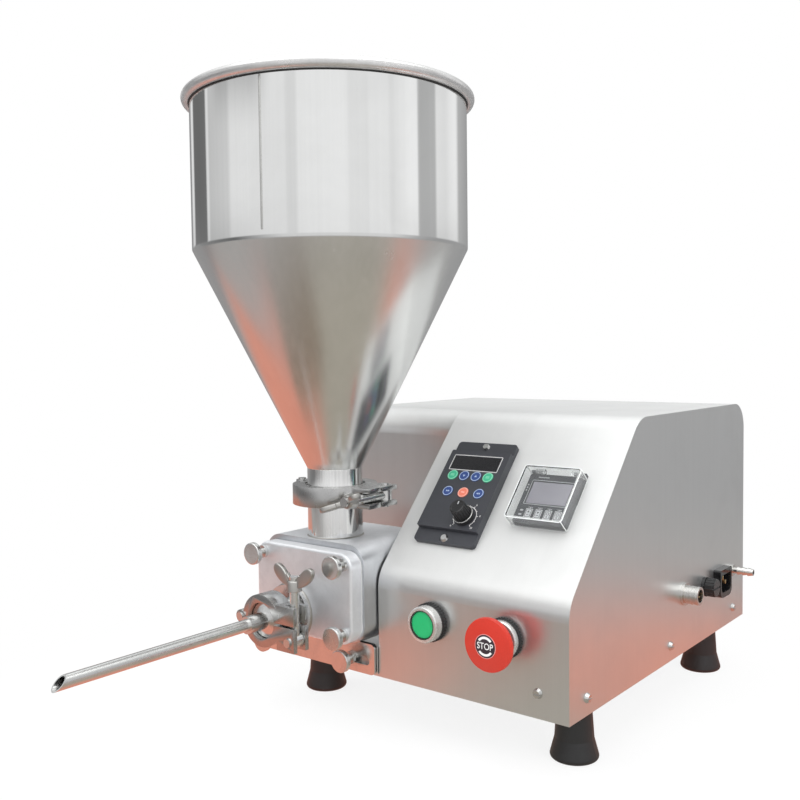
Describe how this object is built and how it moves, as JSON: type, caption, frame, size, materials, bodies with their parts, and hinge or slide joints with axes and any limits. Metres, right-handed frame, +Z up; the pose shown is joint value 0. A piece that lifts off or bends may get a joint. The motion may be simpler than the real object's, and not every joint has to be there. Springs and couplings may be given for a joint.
{
  "type": "fructose dispenser",
  "caption": "Counter-top syrup dispenser: a conical steel hopper clamped to a gear pump with a long slant-cut nozzle, in front of a steel cabinet with a sloping control panel.",
  "frame": {"origin": "under the middle of the machine's bounding box, on the surface that its feet stand on", "axes": "+X to the right as seen from the front, +Y to the back, +Z up; the nozzle points along -Y"},
  "size_m": [0.384, 0.62, 0.535],
  "materials": {
    "hood_steel": "brushed",
    "hopper_steel": "satin, polished rim",
    "fitting_steel": "polished",
    "pump_metal": "satin",
    "gear_steel": "ground",
    "seal_white": "matte",
    "foot_rubber": "matte",
    "screw_steel": "plain",
    "motor_paint": "painted",
    "bezel_chrome": "polished",
    "start_green": "gloss",
    "stop_red": "gloss",
    "black_plastic": "satin",
    "display_dark": "gloss",
    "key_green": "satin",
    "key_blue": "satin",
    "key_red": "satin",
    "counter_grey": "satin",
    "counter_keys": "satin",
    "clear_plastic": "clear",
    "socket_metal": "plated"
  },
  "bodies": {
    "cabinet": {"base_tray": "hood_steel", "hood": "hood_steel", "feet": "foot_rubber", "foot_bolts": "screw_steel", "panel_screws": "screw_steel", "gearmotor": "motor_paint", "motor_bracket": "motor_paint", "pump_body": "pump_metal", "pump_cover": "pump_metal", "pump_seal": "seal_white", "cover_screws": "fitting_steel", "pump_bracket": "fitting_steel", "bracket_screws": "fitting_steel", "inlet_ferrule": "fitting_steel", "outlet_ferrule": "fitting_steel", "clamp_gaskets": "seal_white", "clamp_pins": "fitting_steel", "hopper": "hopper_steel", "hopper_clamp_rear": "fitting_steel", "nozzle": "fitting_steel", "outlet_clamp_lower": "fitting_steel", "button_gaskets": "foot_rubber", "button_bezels": "bezel_chrome", "contact_blocks": "black_plastic", "speed_case": "black_plastic", "speed_window": "display_dark", "counter_case": "counter_grey", "pedal_socket": "socket_metal", "fuse_holder": "black_plastic", "power_inlet": "black_plastic", "hose_barb": "socket_metal"},
    "drive_rotor": {"drive_shaft": "gear_steel", "shaft_coupling": "gear_steel", "drive_gear": "gear_steel"},
    "driven_rotor": {"driven_shaft": "gear_steel", "driven_gear": "gear_steel"},
    "hopper_clamp_half": {"hopper_clamp_front": "fitting_steel"},
    "hopper_bolt": {"hopper_clamp_bolt": "fitting_steel"},
    "hopper_nut": {"hopper_wing_nut": "fitting_steel"},
    "outlet_clamp_half": {"outlet_clamp_upper": "fitting_steel"},
    "outlet_bolt": {"outlet_clamp_bolt": "fitting_steel"},
    "outlet_nut": {"outlet_wing_nut": "fitting_steel"},
    "start_button": {"start_cap": "start_green"},
    "stop_plunger": {"stop_stem": "black_plastic"},
    "stop_mushroom": {"stop_head": "stop_red"},
    "speed_dial": {"speed_knob": "black_plastic"},
    "speed_button_1": {"speed_key_1": "key_green"},
    "speed_button_2": {"speed_key_2": "key_blue"},
    "speed_button_3": {"speed_key_3": "key_blue"},
    "speed_button_4": {"speed_key_4": "key_green"},
    "speed_button_5": {"speed_key_5": "key_blue"},
    "speed_button_6": {"speed_key_6": "key_red"},
    "speed_button_7": {"speed_key_7": "key_blue"},
    "counter_button_1": {"counter_key_1": "counter_keys"},
    "counter_button_2": {"counter_key_2": "counter_keys"},
    "counter_button_3": {"counter_key_3": "counter_keys"},
    "counter_button_4": {"counter_key_4": "counter_keys"},
    "counter_lid": {"counter_cover": "clear_plastic"},
    "fuse_top": {"fuse_cap": "black_plastic"}
  },
  "joints": [
    {"name": "drive_spin", "type": "hinge", "parent": "cabinet", "child": "drive_rotor", "pos_m": [-0.04925, -0.055, 0.12], "axis": [0, 1, 0], "continuous": true},
    {"name": "driven_spin", "type": "hinge", "parent": "cabinet", "child": "driven_rotor", "pos_m": [-0.08525, -0.055, 0.12], "axis": [0, 1, 0], "continuous": true},
    {"name": "hopper_bolt_swing", "type": "hinge", "parent": "cabinet", "child": "hopper_bolt", "pos_m": [-0.02125, -0.03, 0.195], "axis": [0, 0, 1], "range_deg": [0, 70]},
    {"name": "hopper_clamp_open", "type": "hinge", "parent": "cabinet", "child": "hopper_clamp_half", "pos_m": [-0.10725, -0.043, 0.195], "axis": [0, 0, -1], "range_deg": [0, 42]},
    {"name": "hopper_nut_spin", "type": "hinge", "parent": "hopper_bolt", "child": "hopper_nut", "pos_m": [-0.02125, -0.073, 0.195], "axis": [0, 1, 0], "continuous": true},
    {"name": "outlet_bolt_swing", "type": "hinge", "parent": "cabinet", "child": "outlet_bolt", "pos_m": [-0.05025, -0.112, 0.083], "axis": [0, 1, 0], "range_deg": [0, 70]},
    {"name": "outlet_clamp_open", "type": "hinge", "parent": "cabinet", "child": "outlet_clamp_half", "pos_m": [-0.10625, -0.112, 0.096], "axis": [0, -1, 0], "range_deg": [0, 42]},
    {"name": "outlet_nut_spin", "type": "hinge", "parent": "outlet_bolt", "child": "outlet_nut", "pos_m": [-0.05025, -0.112, 0.126], "axis": [0, 0, 1], "continuous": true},
    {"name": "start_press", "type": "slide", "parent": "cabinet", "child": "start_button", "axis": [0, 1, 0], "range_m": [0, 0.004], "stiffness_N_per_m": 800},
    {"name": "stop_press", "type": "slide", "parent": "cabinet", "child": "stop_plunger", "axis": [0, 1, 0], "range_m": [0, 0.005]},
    {"name": "stop_twist", "type": "hinge", "parent": "stop_plunger", "child": "stop_mushroom", "pos_m": [0.1148, -0.075, 0.1015], "axis": [0, -1, 0], "range_deg": [0, 40], "stiffness_Nm_per_rad": 0.05},
    {"name": "speed_turn", "type": "hinge", "parent": "cabinet", "child": "speed_dial", "pos_m": [0.0552, -0.02166, 0.18323], "axis": [0, -0.7376, 0.6752], "range_deg": [-140, 140]},
    {"name": "speed_press_1", "type": "slide", "parent": "cabinet", "child": "speed_button_1", "axis": [0, 0.7376, -0.6752], "range_m": [0, 0.0003], "stiffness_N_per_m": 1500},
    {"name": "speed_press_2", "type": "slide", "parent": "cabinet", "child": "speed_button_2", "axis": [0, 0.7376, -0.6752], "range_m": [0, 0.0003], "stiffness_N_per_m": 1500},
    {"name": "speed_press_3", "type": "slide", "parent": "cabinet", "child": "speed_button_3", "axis": [0, 0.7376, -0.6752], "range_m": [0, 0.0003], "stiffness_N_per_m": 1500},
    {"name": "speed_press_4", "type": "slide", "parent": "cabinet", "child": "speed_button_4", "axis": [0, 0.7376, -0.6752], "range_m": [0, 0.0003], "stiffness_N_per_m": 1500},
    {"name": "speed_press_5", "type": "slide", "parent": "cabinet", "child": "speed_button_5", "axis": [0, 0.7376, -0.6752], "range_m": [0, 0.0003], "stiffness_N_per_m": 1500},
    {"name": "speed_press_6", "type": "slide", "parent": "cabinet", "child": "speed_button_6", "axis": [0, 0.7376, -0.6752], "range_m": [0, 0.0003], "stiffness_N_per_m": 1500},
    {"name": "speed_press_7", "type": "slide", "parent": "cabinet", "child": "speed_button_7", "axis": [0, 0.7376, -0.6752], "range_m": [0, 0.0003], "stiffness_N_per_m": 1500},
    {"name": "counter_press_1", "type": "slide", "parent": "cabinet", "child": "counter_button_1", "axis": [0, 0.7376, -0.6752], "range_m": [0, 0.0003], "stiffness_N_per_m": 1500},
    {"name": "counter_press_2", "type": "slide", "parent": "cabinet", "child": "counter_button_2", "axis": [0, 0.7376, -0.6752], "range_m": [0, 0.0003], "stiffness_N_per_m": 1500},
    {"name": "counter_press_3", "type": "slide", "parent": "cabinet", "child": "counter_button_3", "axis": [0, 0.7376, -0.6752], "range_m": [0, 0.0003], "stiffness_N_per_m": 1500},
    {"name": "counter_press_4", "type": "slide", "parent": "cabinet", "child": "counter_button_4", "axis": [0, 0.7376, -0.6752], "range_m": [0, 0.0003], "stiffness_N_per_m": 1500},
    {"name": "counter_lid_swing", "type": "hinge", "parent": "cabinet", "child": "counter_lid", "pos_m": [0.12, 0.01961, 0.21825], "axis": [-1, 0, 0], "range_deg": [0, 95]},
    {"name": "fuse_turn", "type": "hinge", "parent": "cabinet", "child": "fuse_top", "pos_m": [0.174, 0.204, 0.096], "axis": [1, 0, 0], "range_deg": [-90, 0]}
  ],
  "couplings": [
    {"joint": "driven_spin", "follows": "drive_spin", "ratio": -1},
    {"joint": "hopper_clamp_open", "follows": "hopper_bolt_swing", "ratio": 0.6},
    {"joint": "outlet_clamp_open", "follows": "outlet_bolt_swing", "ratio": 0.6}
  ]
}
